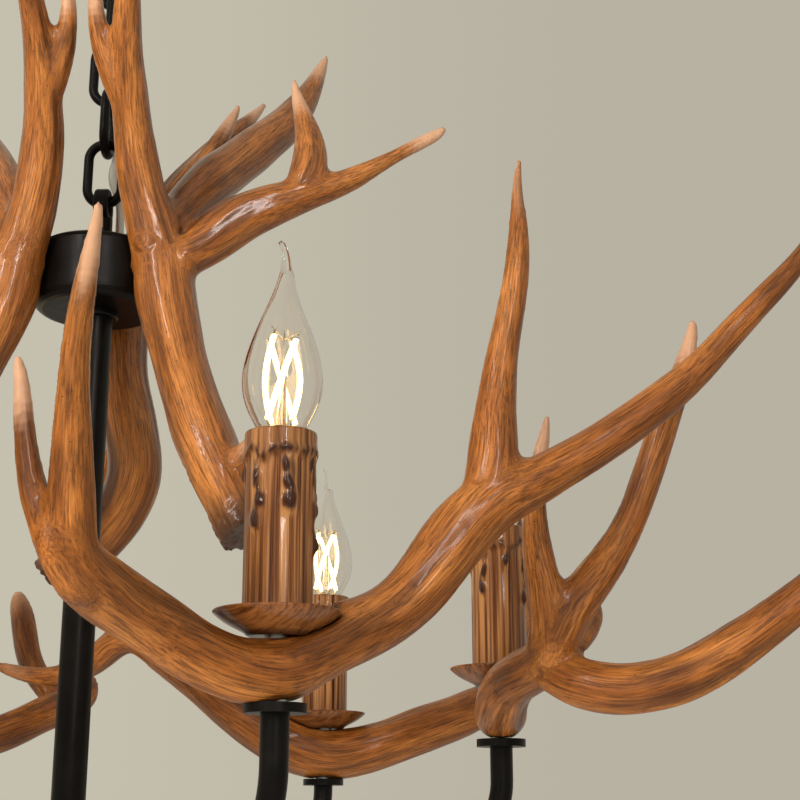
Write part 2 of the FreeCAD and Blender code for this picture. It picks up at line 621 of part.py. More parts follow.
def main():
    """Write one STEP file for each piece."""
    os.makedirs("parts", exist_ok=True)
    for name, shape in nodes().items():
        bad = [s for s in shape.Solids if not s.isValid() or s.Volume <= 0]
        print("%-18s solids %d%s" % (name, len(shape.Solids), "  INVALID" if bad else ""))
        shape.exportStep(os.path.join("parts", name + ".step"))


if __name__ == "__main__":
    main()
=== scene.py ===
"""Dresses the antler chandelier: lacquered antlers, candle sleeves with wax runs, glowing bulbs, black iron.

Lengths in the tables are millimetres, as a maker would note them; MM turns them into the scene's metres.
"""

import json
import logging
import math
from dataclasses import dataclass, field
from enum import Enum

import bpy
import numpy as np
from mathutils import Matrix, Vector, noise

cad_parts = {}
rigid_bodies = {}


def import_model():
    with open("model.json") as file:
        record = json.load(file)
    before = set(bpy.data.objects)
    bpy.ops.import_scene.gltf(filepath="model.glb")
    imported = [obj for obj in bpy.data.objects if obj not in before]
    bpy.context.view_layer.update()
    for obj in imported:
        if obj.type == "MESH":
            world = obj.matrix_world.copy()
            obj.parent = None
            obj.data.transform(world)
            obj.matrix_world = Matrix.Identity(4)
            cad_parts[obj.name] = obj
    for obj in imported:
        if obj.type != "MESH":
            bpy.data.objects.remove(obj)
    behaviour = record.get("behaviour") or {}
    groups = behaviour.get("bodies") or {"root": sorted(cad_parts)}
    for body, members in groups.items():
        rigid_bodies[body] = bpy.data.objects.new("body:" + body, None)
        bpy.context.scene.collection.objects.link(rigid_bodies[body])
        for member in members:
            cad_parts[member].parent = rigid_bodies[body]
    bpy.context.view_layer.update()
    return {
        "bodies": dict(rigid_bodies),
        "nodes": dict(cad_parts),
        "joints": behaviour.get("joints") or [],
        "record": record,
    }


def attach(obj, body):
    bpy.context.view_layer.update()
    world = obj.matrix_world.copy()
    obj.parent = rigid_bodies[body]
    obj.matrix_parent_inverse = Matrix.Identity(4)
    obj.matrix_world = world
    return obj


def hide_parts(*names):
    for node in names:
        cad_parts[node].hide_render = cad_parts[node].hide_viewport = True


LOG = logging.getLogger("chandelier")
MM = 0.001

WELD = 1e-6                             # vertices closer than this become one, in metres
THINNEST = 0.0004                       # the least radius of a tine, in metres

Piece = bpy.types.Object
Socket = bpy.types.NodeSocket
Rows = np.ndarray                       # one row, or one number, for each vertex
Triple = tuple[float, float, float]
Colour = tuple[float, float, float, float]
Point = tuple[float, float, float, float]
Limbs = dict[str, tuple[Point, ...]]
Section = list[tuple[float, float]]     # (radius, height) steps in millimetres

# ---- the antlers' limbs: points (outward, sideways, up, radius) from each antler's own seat
CRADLE_LIMBS: Limbs = {
    "beam": ((25, -103, 24, 11), (19, -90, 14, 12.1), (2, -50, -2, 12.8), (0, 0, -13.5, 14.1),
             (3, 51, 12, 13.5), (7, 74, 35, 14.3), (15, 98, 64, 13.7), (24, 118, 76, 11.3),
             (34, 140, 90, 9.8), (46, 166, 110, 9.2), (55, 187, 129, 8.1), (67, 211, 157, 6.9),
             (81, 237, 188, 5.5), (90, 254, 216, 3.5), (98, 267, 237, 1.6)),
    "tall_near": ((21, -95, 12, 7.6), (30, -102, 34, 9.4), (44, -109, 64, 7.2), (60, -115, 91, 5.4),
                  (73, -117, 116, 3.8), (82, -118, 136, 1.6)),
    "short_near": ((22, -92, 6, 6.5), (22, -105, 25, 7.8), (19, -113, 45, 5.7), (17, -118, 71, 4.1),
                   (13, -121, 97, 1.6)),
    "tall_far": ((13, 93, 60, 9), (16, 100, 82, 12), (15, 103, 111, 9.6), (17, 110, 154, 6.9),
                 (18, 116, 207, 4.1), (18, 118, 237, 1.6)),
}
OWN_LIMBS: dict[int, Limbs] = {
    1: {
        "beam": ((19, -88, 9, 11), (14, -78, 4, 12), (2, -50, -2, 12.8), (0, 0, -13.5, 14.1),
                 (8, 51, 13, 13.2), (18, 74, 36, 13), (38, 104, 54, 12.3), (62, 134, 68, 10.8),
                 (84, 159, 92, 8.8), (106, 183, 134, 7.5), (126, 208, 178, 6.3), (144, 229, 218, 4.7),
                 (163, 251, 266, 1.6)),
        "tall_far": ((22, 80, 40, 9.5), (17, 95, 66, 11.5), (15, 102, 100, 10), (17, 110, 154, 6.9),
                     (18, 116, 207, 4.1), (18, 118, 237, 1.6)),
        "tall_near": ((15, -84, 4, 9.6), (26, -92, 28, 11.7), (42, -95, 48, 9.4), (56, -98, 70, 8),
                      (68, -100, 100, 7.6), (82, -104, 138, 6.2), (91, -106, 172, 1.8)),
        "short_near": ((17, -86, 4, 9), (15, -95, 36, 9.4), (10, -101, 68, 6.5), (13, -104, 102, 4),
                       (17, -105, 123, 1.4)),
        "outer_near": ((15, -80, 3, 9.5), (32, -91, -6, 12), (58, -100, -9, 12), (97, -107, 6, 11.3),
                       (131, -113, 30, 9.9), (163, -120, 60, 6.7), (189, -126, 114, 1.5)),
    },
    2: {
        "beam": ((25, -103, 24, 11), (19, -90, 14, 12.1), (2, -50, -2, 12.8), (0, 0, -13.5, 14.1),
                 (3, 51, 12, 13.2), (7, 75, 32, 13), (13, 99, 50, 12.5), (20, 120, 70, 11),
                 (28, 132, 97, 9.1), (35, 133, 134, 7.5), (40, 130, 174, 5.8), (45, 129, 210, 3.7),
                 (48, 128, 240, 1.6)),
        "tall_far": ((10, 88, 41, 10.2), (18, 117, 50, 9.7), (25, 137, 36, 8), (32, 163, 31, 5.2),
                     (38, 190, 38, 1.6)),
    },
    3: {
        "tall_near": ((27, -81, 13, 7.6), (42, -73, 36, 9), (58, -68, 60, 9.8), (69, -67, 82, 9.4),
                      (75, -65, 96, 6.5), (77, -64, 103, 2.6)),
        "short_near": ((24, -82, 14, 6.6), (28, -95, 38, 6), (32, -104, 60, 4.9), (37, -110, 78, 3.2),
                       (38, -111, 90, 1.5)),
    },
}
CROWN_LIMBS: Limbs = {
    "main_up": ((52, -1, -3, 15.5), (47, -19, 51, 12.3), (57, -40, 94, 9.9), (76, -62, 132, 6.8),
                (106, -83, 174, 1.6)),
    "main_down": ((52, -1, 3, 15.5), (61, 0, -44, 15.5), (80, -2, -89, 15.3), (98, -3, -123, 15.5),
                  (112, -3, -145, 14.2), (121, -2, -160, 14.6)),
    "brow": ((89, -3, -124, 10.4), (113, -3, -124, 9.2), (128, -6, -115, 5.5), (141, -11, -107, 1.5)),
    "fork": ((50, -3, 0, 11.1), (70, 13, 12, 13.4), (86, 27, 29, 13.5), (101, 39, 38, 11.3),
             (116, 53, 46, 9.1), (134, 70, 58, 6.4), (152, 86, 73, 4), (171, 104, 91, 1.5)),
    "fork_tine": ((106, 43, 37, 6.8), (113, 50, 59, 10.8), (108, 54, 87, 7.5), (101, 53, 110, 3.5),
                  (99, 52, 122, 1.6)),
    "rear": ((51, -12, 8, 9.4), (50, 20, 44, 13.2), (50, 66, 90, 14), (53, 111, 138, 10.2),
             (54, 133, 176, 4.6), (55, 139, 190, 1.7)),
    "back_tine": ((58, -4, -22, 8), (76, 2, 14, 10.2), (97, 4, 50, 8.2), (112, 2, 92, 5.1),
                  (117, -2, 129, 1.6)),
    "top_tine": ((54, -30, 72, 6.6), (52, -58, 115, 6), (60, -72, 150, 1.5)),
}
REAR_CROWN_DOWN: tuple[Point, ...] = ((52, -1, 3, 15.5), (55, -3, -37, 14.5), (62, -9, -75, 15),
                                      (66, -12, -101, 15), (70, -3, -126, 14.7), (74, 15, -148, 14.3),
                                      (76, 37, -169, 15.4))

# ---- where the parts stand
SEAT_Z = -598.6
RING_R = 227.0
LIGHT_AZ = (-57.3, 1.0, 57.0, 122.0, 180.0, 242.0)
SEAT_LIFT = (0.0, -3.0, -13.0, -6.0, -2.0, -8.0)
ANTLER_TURN = (0.0, 0.0, 38.0, 0.0, 0.0, -8.0)
ANTLER_SIZE = (1.0, 1.0, 1.17, 0.95, 1.0, 1.0)
BULB_TURN = (20.0, 140.0, 250.0, 300.0, 80.0, 190.0)
SLEEVE_TURN = (-2.0, 35.0, 160.0, 250.0, 75.0, 205.0)
HUB_MID = -372.0
CROWN_AZ = (-35.0, 88.0, 215.0)
CROWN_SIZE = (1.0, 0.95, 1.0)
CROWN_GIRTH = (1.0, 1.14, 1.0)
REAR_CROWN = 1                      # the rear antler has a back tine in place of its side limbs
LEFT_HANDED_CROWN = 2
DARK_TIP = "tall_far"               # the tine whose tip is stained almost to its end

SLEEVE_R = 14.75
SLEEVE_TOP = 86.6
DISH_HEIGHT = 10.5
DISH_RIM_R = 26.8


class Metal(Enum):
    """The metal and plastic finishes that the fittings wear, by the record's slot names."""

    BLACK_IRON = "black_metal"
    ZINC = "zinc"
    CAP = "bulb_cap"
    HOLDER = "holder"
    WIRE = "wire"


# ---- small helpers over Blender's operators
def select_only(piece: Piece) -> None:
    """Deselects everything, then selects one piece and makes it active.

    Args:
        piece: the object to work on.
    """
    bpy.ops.object.select_all(action="DESELECT")
    piece.select_set(True)
    bpy.context.view_layer.objects.active = piece


def apply_modifier(piece: Piece, kind: str, **settings: object) -> None:
    """Adds a modifier with its settings and applies it.

    Args:
        piece: the object that gets it.
        kind: Blender's modifier type.
        **settings: the modifier's values by name.
    """
    select_only(piece)
    modifier = piece.modifiers.new(kind.title(), kind)
    for name, value in settings.items():
        setattr(modifier, name, value)
    bpy.ops.object.modifier_apply(modifier=modifier.name)


def settle(piece: Piece, name: str) -> Piece:
    """Names a piece and moves its place into its mesh.

    Args:
        piece: a finished object.
        name: its name in a maker's words.

    Returns:
        The same object, at the origin, unturned and unscaled.
    """
    select_only(piece)
    bpy.ops.object.transform_apply(location=True, rotation=True, scale=True)
    piece.name = name
    piece.data.name = name
    return piece


def soften(piece: Piece, sharp: float | None = None) -> None:
    """Shades a piece smooth.

    Args:
        piece: the object to shade.
        sharp: degrees from which an edge stays sharp, if any does.
    """
    select_only(piece)
    if sharp is None:
        bpy.ops.object.shade_smooth()
    else:
        bpy.ops.object.shade_smooth_by_angle(angle=math.radians(sharp))


def rows_of(items: bpy.types.bpy_prop_collection, name: str) -> Rows:
    """One vector of each item of a mesh.

    Args:
        items: the mesh's vertices or its vertex normals.
        name: the vector's name.

    Returns:
        A row of three numbers for each item.
    """
    flat = np.empty(len(items) * 3)
    items.foreach_get(name, flat)
    return flat.reshape(-1, 3)


def coordinates(piece: Piece) -> Rows:
    """The places of a piece's vertices, a row each."""
    return rows_of(piece.data.vertices, "co")


def move_vertices(piece: Piece, places: Rows) -> None:
    """Writes new places, a row each, to a piece's vertices."""
    piece.data.vertices.foreach_set("co", places.ravel())
    piece.data.update()


def paint(piece: Piece, name: str, values: Rows) -> None:
    """Stores a value or a vector at each vertex, for the material to read.

    Args:
        piece: a mesh object.
        name: the attribute's name.
        values: one number, or one row of three, for each vertex.
    """
    vector = values.ndim == 2
    layer = piece.data.attributes.new(name, "FLOAT_VECTOR" if vector else "FLOAT", "POINT")
    layer.data.foreach_set("vector" if vector else "value", values.astype(np.float32).ravel())


def smoothstep(low: float, high: float, value: Rows) -> Rows:
    """Zero below low, one above high, and an even S between them."""
    t = np.clip((value - low) / (high - low), 0.0, 1.0)
    return t * t * (3 - 2 * t)


def noise_at(rows: Rows) -> Rows:
    """Blender's own gradient noise, from about -1 to 1, at each row of three numbers."""
    return np.array([noise.noise(row) for row in rows.tolist()])


def ring_place(azimuth: float, ring: float, height: float, turn: float) -> Matrix:
    """The move from the origin to a place round the chandelier's axis.

    Args:
        azimuth: degrees round the axis.
        ring: millimetres from the axis.
        height: millimetres above the ceiling's face.
        turn: degrees that the piece is turned on its own axis.

    Returns:
        The move, in metres.
    """
    angle = math.radians(azimuth)
    spot = (ring * MM * math.cos(angle), ring * MM * math.sin(angle), height * MM)
    return Matrix.Translation(spot) @ Matrix.Rotation(angle + math.radians(turn), 4, "Z")


def copy_on_seat(pattern: Piece, name: str, light: int, turn: float) -> Piece:
    """A copy of a pattern, moved from the origin to one of the six seats.

    Args:
        pattern: the pattern piece.
        name: what the six copies are called.
        light: which light, from 0.
        turn: degrees that the copy is turned on its own axis.

    Returns:
        The new object, with its place in its mesh.
    """
    twin = bpy.data.objects.new("%s_%d" % (name, light + 1), pattern.data.copy())
    twin.data.name = twin.name
    twin.data.transform(ring_place(LIGHT_AZ[light], RING_R, SEAT_Z + SEAT_LIFT[light], turn))
    bpy.context.scene.collection.objects.link(twin)
    return twin


# ---- materials
class Nodes:
    """A node tree under construction: makes nodes and joins them."""

    def __init__(self, tree: bpy.types.NodeTree) -> None:
        """Takes the tree to work in."""
        self.tree = tree

    def node(self, kind: str, inputs: dict | None = None, **values: object) -> bpy.types.Node:
        """Adds a node.

        Args:
            kind: the node's type.
            inputs: sockets by name or number, each with a number, a colour or another node's output.
            **values: the node's own settings.

        Returns:
            The new node.
        """
        made = self.tree.nodes.new(kind)
        for name, value in values.items():
            setattr(made, name, value)
        for name, value in (inputs or {}).items():
            self.feed(made.inputs[name], value)
        return made

    def out(self, kind: str, inputs: dict | None = None, output: int | str = 0, **values: object) -> Socket:
        """Adds a node, as node does, and returns one of its outputs."""
        return self.node(kind, inputs, **values).outputs[output]

    def feed(self, socket: Socket, value: object) -> None:
        """Joins an output to a socket, or sets the socket's own value.

        Args:
            socket: the socket to feed.
            value: an output, a number or a colour.
        """
        if isinstance(value, Socket):
            self.tree.links.new(value, socket)
        else:
            socket.default_value = value


class Recipe(Nodes):
    """A material under construction, with a Principled shader."""

    def __init__(self, name: str) -> None:
        """Starts an empty material.

        Args:
            name: the material's name.
        """
        self.material = bpy.data.materials.new(name)
        self.material.use_nodes = True
        super().__init__(self.material.node_tree)
        self.shader = self.tree.nodes["Principled BSDF"]

    def set(self, **values: object) -> None:
        """Feeds the shader's sockets by name; an underscore stands for a space."""
        for name, value in values.items():
            self.feed(self.shader.inputs[name.replace("_", " ")], value)

    def scaled(self, source: Socket, factors: Triple) -> Socket:
        """A vector multiplied part by part."""
        return self.out("ShaderNodeVectorMath", {0: source, 1: factors}, operation="MULTIPLY")

    def cloud(self, source: Socket, scale: float, detail: float = 4.0,
              roughness: float = 0.55, distortion: float = 0.0) -> Socket:
        """A noise value from a vector."""
        return self.out("ShaderNodeTexNoise", {"Vector": source, "Scale": scale, "Detail": detail,
                                               "Roughness": roughness, "Distortion": distortion}, "Fac")

    def ramp(self, source: Socket, stops: tuple[tuple[float, Colour], ...]) -> Socket:
        """A colour ramp.

        Args:
            source: the value that picks the colour.
            stops: each stop's place and colour.

        Returns:
            The colour.
        """
        made = self.node("ShaderNodeValToRGB", {"Fac": source})
        while len(made.color_ramp.elements) < len(stops):
            made.color_ramp.elements.new(0.5)
        for element, (place, colour) in zip(made.color_ramp.elements, stops):
            element.position = place
            element.color = colour
        return made.outputs["Color"]

    def mix(self, share: object, first: object, second: object, way: str = "MIX") -> Socket:
        """Two colours mixed by a share."""
        return self.out("ShaderNodeMix", {"Factor": share, 6: first, 7: second}, 2,
                        data_type="RGBA", blend_type=way)

    def blend(self, share: object, first: object, second: object) -> Socket:
        """Two numbers mixed by a share."""
        return self.out("ShaderNodeMix", {0: share, 2: first, 3: second}, data_type="FLOAT")

    def between(self, source: Socket, low: float, high: float,
                to_low: float = 0.0, to_high: float = 1.0) -> Socket:
        """A value stretched from one range to another, and held at its ends."""
        return self.out("ShaderNodeMapRange", {"Value": source, "From Min": low, "From Max": high,
                                               "To Min": to_low, "To Max": to_high}, "Result")

    def attribute(self, name: str, output: str = "Fac") -> Socket:
        """A value painted on the mesh."""
        return self.out("ShaderNodeAttribute", output=output, attribute_name=name)

    def object_place(self) -> Socket:
        """The place in the object's own frame, in metres."""
        return self.out("ShaderNodeTexCoord", output="Object")

    def relief(self, height: Socket, strength: float, distance: float) -> None:
        """Feeds a height to the shader's normal."""
        self.set(Normal=self.out("ShaderNodeBump",
                                 {"Height": height, "Strength": strength, "Distance": distance}))


@dataclass(frozen=True)
class AntlerLacquer:
    """Stained and lacquered antler: fine dark grain along each tine, pale tips, dark burr."""

    name: str
    gloss: float
    groove: Colour = (0.040, 0.010, 0.002, 1)
    brown: Colour = (0.165, 0.050, 0.009, 1)
    amber: Colour = (0.285, 0.092, 0.015, 1)
    honey: Colour = (0.430, 0.158, 0.032, 1)
    tip: Colour = (0.58, 0.33, 0.19, 1)
    burr: Colour = (0.030, 0.012, 0.006, 1)
    fine_grain: Triple = (1150, 1150, 48)
    broad_grain: Triple = (80, 80, 14)
    streaks: Triple = (520, 520, 26)
    flecks: float = 420.0

    def material(self) -> bpy.types.Material:
        """Builds the material.

        Returns:
            The finished material.
        """
        r = Recipe(self.name)
        share = r.attribute("grain_mix")
        layers = []
        for name in ("grain_a", "grain_b"):
            place = r.attribute(name, "Vector")
            layers.append((r.cloud(r.scaled(place, self.fine_grain), 1.0, 4.0, 0.7),
                           r.cloud(r.scaled(place, self.broad_grain), 1.0, 3.0, 0.5, 0.4),
                           r.cloud(r.scaled(place, self.streaks), 1.0, 3.0, 0.6, 0.3)))
        fine, broad, streak = (r.blend(share, a, b) for a, b in zip(*layers))
        ground = r.ramp(broad, ((0.28, self.brown), (0.48, self.amber), (0.70, self.honey)))
        lines = r.between(fine, 0.38, 0.60, 0.42, 1.32)
        grained = r.mix(1.0, ground, lines, "MULTIPLY")
        dark = r.between(streak, 0.58, 0.78, 0.0, 0.42)
        stained = r.mix(dark, grained, self.groove)
        fleck = r.cloud(r.object_place(), self.flecks, 2.0, 0.7)
        speckled = r.mix(r.between(fleck, 0.66, 0.76, 0.0, 0.75), stained, self.groove)
        hollow = r.mix(r.attribute("hollow"), speckled, self.groove)
        paler = r.mix(r.attribute("tip"), hollow, self.tip)
        burnt = r.mix(r.attribute("burr"), paler, self.burr)
        r.set(Base_Color=burnt, Roughness=r.between(broad, 0.3, 0.7, 0.36, 0.50), Specular_IOR_Level=0.30,
              Coat_Weight=self.gloss, Coat_Roughness=0.15, IOR=1.45)
        r.relief(r.blend(0.30, fine, streak), 0.45, 0.0006)
        return r.material


@dataclass(frozen=True)
class StreakedTimber:
    """Brown timber with straight streaks, for sleeves and dishes, darkened with dark wax and with painted
    shade where the mesh marks them.
    """

    name: str
    stretch: Triple
    dark: Colour = (0.032, 0.008, 0.002, 1)
    brown: Colour = (0.170, 0.056, 0.012, 1)
    tan: Colour = (0.440, 0.200, 0.066, 1)
    # the colour of the sleeves' dark wax and of the painted shade on sleeves and dishes
    wax_and_shade: Colour = (0.036, 0.010, 0.003, 1)

    def material(self) -> bpy.types.Material:
        """Builds the material.

        Returns:
            The finished material.
        """
        r = Recipe(self.name)
        place = r.attribute("grain", "Vector")
        lines = r.cloud(r.scaled(place, self.stretch), 1.0, 4.0, 0.62)
        bands = r.cloud(r.scaled(place, tuple(0.3 * k for k in self.stretch)), 1.0, 2.0, 0.5)
        ground = r.ramp(r.blend(0.35, lines, bands),
                        ((0.38, self.dark), (0.46, self.brown), (0.56, self.tan)))
        # mixes in the dark wax and the painted shade that the mesh marks
        worn = r.mix(r.attribute("wax_and_shade"), ground, self.wax_and_shade)
        r.set(Base_Color=worn, Roughness=r.between(lines, 0.3, 0.7, 0.30, 0.42), Specular_IOR_Level=0.2,
              Coat_Weight=0.45, Coat_Roughness=0.10, IOR=1.5)
        r.relief(lines, 0.20, 0.0004)
        return r.material


@dataclass(frozen=True)
class MetalFinish:
    """Painted or plated metal, or a plain moulded fitting, with a fine surface texture."""

    kind: Metal
    colour: Colour
    worn: Colour
    metallic: float
    roughness: tuple[float, float]
    grain: float = 1500.0
    shine: float = 0.5

    def material(self) -> bpy.types.Material:
        """Builds the material.

        Returns:
            The finished material.
        """
        r = Recipe(self.kind.value)
        place = r.object_place()
        texture = r.cloud(place, self.grain, 3.0, 0.6)
        patches = r.cloud(place, 60.0, 3.0, 0.55)
        colour = r.mix(r.between(patches, 0.45, 0.75), self.colour, self.worn)
        r.set(Base_Color=colour, Metallic=self.metallic, Specular_IOR_Level=self.shine,
              Roughness=r.between(patches, 0.3, 0.7, *self.roughness))
        r.relief(texture, 0.12, 0.0003)
        return r.material


@dataclass(frozen=True)
class ClearPart:
    """Blown glass or clear cable cover."""

    name: str
    colour: Colour
    index: float
    roughness: float
    clearness: float = 1.0

    def material(self) -> bpy.types.Material:
        """Builds the material.

        Returns:
            The finished material.
        """
        r = Recipe(self.name)
        smear = r.cloud(r.object_place(), 90.0, 2.0, 0.5)
        rough = r.between(smear, 0.4, 0.8, self.roughness, self.roughness + 0.02)
        r.set(Base_Color=self.colour, Transmission_Weight=self.clearness, IOR=self.index, Roughness=rough)
        return r.material


@dataclass(frozen=True)
class Glow:
    """The phosphor of a lit filament."""

    colour: Colour = (1.0, 0.62, 0.20, 1)
    hot: Colour = (1.0, 0.76, 0.36, 1)
    strength: float = 6.5

    def material(self) -> bpy.types.Material:
        """Builds the material.

        Returns:
            The finished material.
        """
        r = Recipe("filament_glow")
        spots = r.cloud(r.object_place(), 900.0, 2.0, 0.5)
        lit = r.mix(r.between(spots, 0.3, 0.7, 0.0, 0.4), self.colour, self.hot)
        r.set(Base_Color=self.colour, Emission_Color=lit, Emission_Strength=self.strength, Roughness=0.6)
        return r.material


class Finishes:
    """Every material of the chandelier, built once."""

    def __init__(self) -> None:
        """Builds all of the materials."""
        # the dish's last colour is its painted shade, laid near the foot and round the sleeve's base
        dish = StreakedTimber("dish_timber", (60, 760, 420), (0.060, 0.018, 0.004, 1),
                              (0.140, 0.044, 0.010, 1), (0.250, 0.092, 0.024, 1),
                              (0.012, 0.004, 0.002, 1))
        self.slots = {
            "antler": AntlerLacquer("cradle_lacquer", 0.24).material(),
            "sleeve": StreakedTimber("sleeve_timber", (560, 560, 9)).material(),
            "dish": dish.material(),
            "bulb_glass": ClearPart("bulb_glass", (0.975, 0.96, 0.94, 1), 1.45, 0.0).material(),
            "clear_cable": ClearPart("clear_cable", (0.86, 0.84, 0.78, 1), 1.42, 0.12, 0.55).material(),
        }
        self.crown = AntlerLacquer("crown_lacquer", 0.60).material()
        self.glow = Glow().material()
        self.slots |= {finish.kind.value: finish.material() for finish in (
            MetalFinish(Metal.BLACK_IRON, (0.0022, 0.0018, 0.0015, 1), (0.005, 0.004, 0.0035, 1), 0.0,
                        (0.30, 0.40), shine=0.16),
            MetalFinish(Metal.ZINC, (0.52, 0.53, 0.54, 1), (0.38, 0.37, 0.35, 1), 1.0, (0.26, 0.42)),
            MetalFinish(Metal.CAP, (0.62, 0.60, 0.55, 1), (0.48, 0.44, 0.38, 1), 1.0, (0.2, 0.34)),
            MetalFinish(Metal.HOLDER, (0.70, 0.68, 0.62, 1), (0.60, 0.57, 0.50, 1), 0.0, (0.32, 0.45)),
            MetalFinish(Metal.WIRE, (0.03, 0.03, 0.032, 1), (0.05, 0.05, 0.05, 1), 0.0, (0.38, 0.5)),
        )}


def dress(piece: Piece, material: bpy.types.Material, body: str) -> None:
    """Gives a new piece its material and its body.

    Args:
        piece: the finished piece.
        material: what it wears.
        body: the body that it rides on.
    """
    piece.data.materials.clear()
    piece.data.materials.append(material)
    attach(piece, body)
    LOG.info("%s rides %s", piece.name, body)


# ---- antlers
@dataclass
class Tine:
    """One limb sampled closely: places, directions and radii, in metres."""

    places: Rows
    along: Rows
    side: Rows
    radius: Rows
    run: Rows

    @classmethod
    def through(cls, points: Rows, step: float = 0.003) -> "Tine":
        """Samples a smooth line through a limb's points.

        Args:
            points: a row of x, y, z, radius for each point, in metres.
            step: distance between samples.

        Returns:
            The sampled limb.
        """
        rows = []
        last = len(points) - 1
        for k in range(last):
            p0, p1, p2, p3 = (points[min(max(k + j, 0), last)] for j in (-1, 0, 1, 2))
            count = max(2, int(np.linalg.norm(p2[:3] - p1[:3]) / step))
            for t in np.linspace(0, 1, count, endpoint=(k == last - 1)):
                rows.append(0.5 * (2 * p1 + (p2 - p0) * t + (2 * p0 - 5 * p1 + 4 * p2 - p3) * t * t
                                   + (3 * p1 - p0 - 3 * p2 + p3) * t ** 3))
        rows = np.array(rows)
        places, radius = rows[:, :3], np.maximum(rows[:, 3], THINNEST)
        along = np.gradient(places, axis=0)
        along /= np.linalg.norm(along, axis=1)[:, None]
        side = np.empty_like(along)
        start = np.cross(along[0], (0.3, 0.5, 0.8))
        side[0] = start / np.linalg.norm(start)
        for k in range(1, len(along)):
            carried = side[k - 1] - along[k] * np.dot(side[k - 1], along[k])
            side[k] = carried / np.linalg.norm(carried)
        steps = np.linalg.norm(np.diff(places, axis=0), axis=1)
        run = np.concatenate(([0.0], np.cumsum(steps)))
        return cls(places, along, side, radius, run)

    def read(self, vertices: Rows) -> tuple[Rows, Rows, Rows, Rows]:
        """Where each vertex lies on this limb.

        Args:
            vertices: a row of x, y, z each.

        Returns:
            The distance over the limb's radius, the place in the limb's own frame, what is left of its
            length and its radius there.
        """
        square = (vertices ** 2).sum(1)[:, None] + (self.places ** 2).sum(1)[None]
        square -= 2 * vertices @ self.places.T
        nearest = square.argmin(1)
        offset = vertices - self.places[nearest]
        along, side = self.along[nearest], self.side[nearest]
        third = np.cross(along, side)
        ahead = (offset * along).sum(1)
        local = np.stack(((offset * side).sum(1), (offset * third).sum(1), self.run[nearest] + ahead), 1)
        reach = np.sqrt(np.maximum(square[np.arange(len(vertices)), nearest], 0.0))
        return reach / self.radius[nearest], local, self.run[-1] - self.run[nearest], self.radius[nearest]


@dataclass(frozen=True)
class Carving:
    """How an antler's surface is worked: heights in millimetres, ranges and places in metres."""

    fork: tuple[float, float] = (1.25, 2.3)     # in radii of the second limb
    fork_rounds: int = 28
    groove: float = 0.9
    ridge: float = 0.34
    swell: float = 0.8
    collar: float = 1.1
    pearls: float = 0.7
    grit: float = 0.5
    burr_ridge: float = 0.8
    collar_place: float = 0.018
    collar_width: float = 0.006
    burr_edge: tuple[float, float] = (0.013, 0.026)
    ridge_fade: float = 0.085
    thin_to_thick: tuple[float, float] = (0.003, 0.011)
    seat_flat: tuple[float, float] = (0.013, 0.022)
    dish_room: tuple[float, float] = (0.029, 0.036)
    hub_room: tuple[float, float] = (0.037, 0.046)
    bare_tip: tuple[float, float] = (0.018, 0.034)


